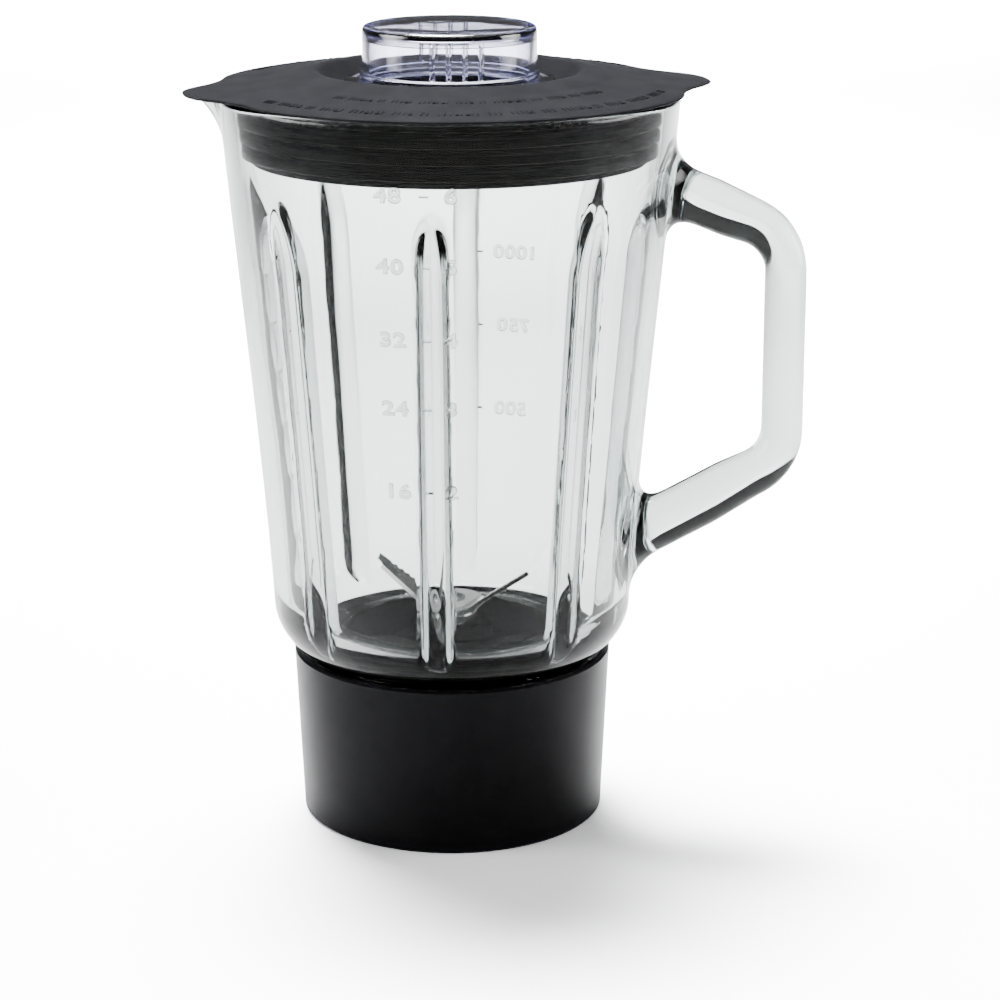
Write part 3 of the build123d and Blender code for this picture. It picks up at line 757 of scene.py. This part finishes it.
FONT_SIZE_PER_HEIGHT = 1.4
NUMBER_BEVEL = 0.27
NUMBER_STANDOFF = 0.36
NUMBER_STRETCH = 1.25
TICK_SECTION = ((0.04, -0.35), (0.3, -0.3), (0.48, 0.0), (0.3, 0.3), (0.04, 0.35))
TICK_STEPS = 6
FRONT_TALL = 4.5
FRONT_LEFT_ANGLE = -100.2
FRONT_TICK_ANGLE = -91.4
FRONT_RIGHT_ANGLE = -85.0
FRONT_TICK_LENGTH = 3.0
BACK_TALL = 4.3
BACK_ANGLE = 74.8
BACK_TICK_ANGLE = 87.2
BACK_TICK_LENGTH = 5.0
FRONT_ROWS = (("40", "5", 197), ("32", "4", 174), ("24", "3", 152), ("16", "2", 125), ("48", "6", 219))
BACK_ROWS = (("1000", 176), ("750", 151), ("500", 122))


def wall_r(height):
    """Outer radius of the glass at a height."""
    return float(np.polyval(WALL_CURVE, height))


def number_on_glass(text, angle, height, tall):
    """Raised number on the outside of the glass, just clear of the wall behind it."""
    font = bpy.data.curves.new("number", "FONT")
    font.body = text
    font.size = tall * FONT_SIZE_PER_HEIGHT
    font.align_x = "CENTER"
    font.align_y = "CENTER"
    font.extrude = 0.05
    font.bevel_depth = NUMBER_BEVEL
    font.bevel_resolution = 2
    font.space_character = 1.12
    holder = bpy.data.objects.new("number", font)
    scene.collection.objects.link(holder)
    shape = bpy.data.meshes.new_from_object(holder.evaluated_get(bpy.context.evaluated_depsgraph_get()))
    bpy.data.objects.remove(holder)
    welded = bmesh.new()
    welded.from_mesh(shape)
    bmesh.ops.remove_doubles(welded, verts=welded.verts, dist=1e-4)
    welded.to_mesh(shape)
    welded.free()
    points = []
    for vertex in shape.vertices:
        x, y, z = vertex.co
        level = height + y
        r = wall_r(level) + NUMBER_STANDOFF + z
        a = radians(angle) + x * NUMBER_STRETCH / wall_r(level)
        points.append((r * cos(a), r * sin(a), level))
    faces = [tuple(face.vertices) for face in shape.polygons]
    bpy.data.meshes.remove(shape)
    return points, faces


def tick_on_glass(angle, height, length):
    """Short level bar beside a number."""
    points, faces = [], []
    for i in range(TICK_STEPS + 1):
        a = radians(angle) + (i / TICK_STEPS - 0.5) * length / wall_r(height)
        for out, up in TICK_SECTION:
            r = wall_r(height) + out
            points.append((r * cos(a), r * sin(a), height + up))
    n = len(TICK_SECTION)
    for i in range(TICK_STEPS):
        for k in range(n):
            faces.append((n * i + k, n * (i + 1) + k, n * (i + 1) + (k + 1) % n, n * i + (k + 1) % n))
    faces.append(tuple(range(n)))
    faces.append(tuple(n * TICK_STEPS + k for k in reversed(range(n))))
    return points, faces


def make_graduations():
    """Numbers and ticks in front, in fluid ounces and cups, and on the back in millilitres."""
    parts = []
    for left, right, height in FRONT_ROWS:
        parts.append(number_on_glass(left, FRONT_LEFT_ANGLE, height, FRONT_TALL))
        parts.append(tick_on_glass(FRONT_TICK_ANGLE, height, FRONT_TICK_LENGTH))
        parts.append(number_on_glass(right, FRONT_RIGHT_ANGLE, height, FRONT_TALL))
    for text, height in BACK_ROWS:
        parts.append(number_on_glass(text, BACK_ANGLE, height, BACK_TALL))
        parts.append(tick_on_glass(BACK_TICK_ANGLE, height, BACK_TICK_LENGTH))
    points, faces = [], []
    for some_points, some_faces in parts:
        start = len(points)
        points.extend(some_points)
        faces.extend(tuple(start + i for i in face) for face in some_faces)
    mark_glass = glass_material("mark_glass", (0.48, 0.53, 0.51), 1200.0)
    object_from("graduations", points, faces, "jar", mark_glass, 30)


make_lid()
make_lid_seal()
make_cap()
bars_on_lid()
make_graduations()


# ---- Stage, lights and camera ------------------------------------------------------------
CAMERA_TURN = radians(4.0)
CAMERA_PITCH = radians(15.81)
CAMERA_DISTANCE = 0.9602
CAMERA_SIDE = 0.016
CAMERA_HEIGHT = 0.377
CAMERA_LENS = 108.7
FLOOR_HALF = 12.0
ROOM_GLOW = 0.10
# Each light: name, place, point it aims at, width, height, power in watts, spread in degrees.
LIGHTS = (
    ("key", (-0.14, 0.42, 1.25), (0.02, 0.0, 0), 0.8, 0.8, 38.0, 34),
    ("overhead", (0, 0, 4.0), (0, 0, 0), 6.0, 6.0, 200.0, 180),
    ("back_near", (-0.07, 0.95, 0.9), (-0.07, 0.95, 0), 0.8, 1.0, 105.0, 60),
    ("back_far", (-0.2, 2.9, 1.4), (-0.2, 2.9, 0), 1.6, 2.6, 420.0, 70),
    ("left_soft", (-0.72, -0.16, 0.30), (0, 0, 0.1), 0.8, 1.0, 5.0, 50),
    ("right_soft", (0.8, 0.05, 0.30), (0, 0, 0.1), 0.5, 0.8, 2.0, 50),
)


def make_floor():
    """Plain pale table."""
    corners = [(x * FLOOR_HALF, y * FLOOR_HALF, 0) for x, y in ((-1, -1), (1, -1), (1, 1), (-1, 1))]
    mesh = bpy.data.meshes.new("floor")
    mesh.from_pydata(corners, [], [(0, 1, 2, 3)])
    floor = bpy.data.objects.new("floor", mesh)
    floor.location.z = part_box("base_collar")[0].z
    scene.collection.objects.link(floor)
    mesh.materials.append(new_material("white_floor", (0.8, 0.8, 0.81), 0.7, Specular_IOR_Level=0.1))


def make_world():
    """Dim plain room."""
    world = bpy.data.worlds.new("room")
    scene.world = world
    world.use_nodes = True
    background = world.node_tree.nodes["Background"]
    background.inputs["Color"].default_value = (1, 1, 1, 1)
    background.inputs["Strength"].default_value = ROOM_GLOW


def add_softbox(name, place, target, width, height, power, spread):
    """Soft rectangular light; a smaller spread keeps it to the place it aims at."""
    light = bpy.data.lights.new(name, "AREA")
    light.shape = "RECTANGLE"
    light.size, light.size_y = width, height
    light.energy = power
    light.spread = radians(spread)
    holder = bpy.data.objects.new(name, light)
    holder.location = place
    holder.rotation_euler = (Vector(target) - Vector(place)).to_track_quat("-Z", "Y").to_euler()
    scene.collection.objects.link(holder)


def make_camera():
    """Camera in front, turned a little and looking down on the lid."""
    camera = bpy.data.cameras.new("camera")
    camera.lens = CAMERA_LENS
    camera.sensor_width = 36.0
    holder = bpy.data.objects.new("camera", camera)
    turn = Matrix.Rotation(CAMERA_TURN, 4, "Z")
    holder.location = turn @ Vector((CAMERA_SIDE, -CAMERA_DISTANCE, CAMERA_HEIGHT))
    holder.rotation_euler = (pi / 2 - CAMERA_PITCH, 0, CAMERA_TURN)
    scene.collection.objects.link(holder)
    scene.camera = holder


make_floor()
make_world()
for softbox in LIGHTS:
    add_softbox(*softbox)
make_camera()
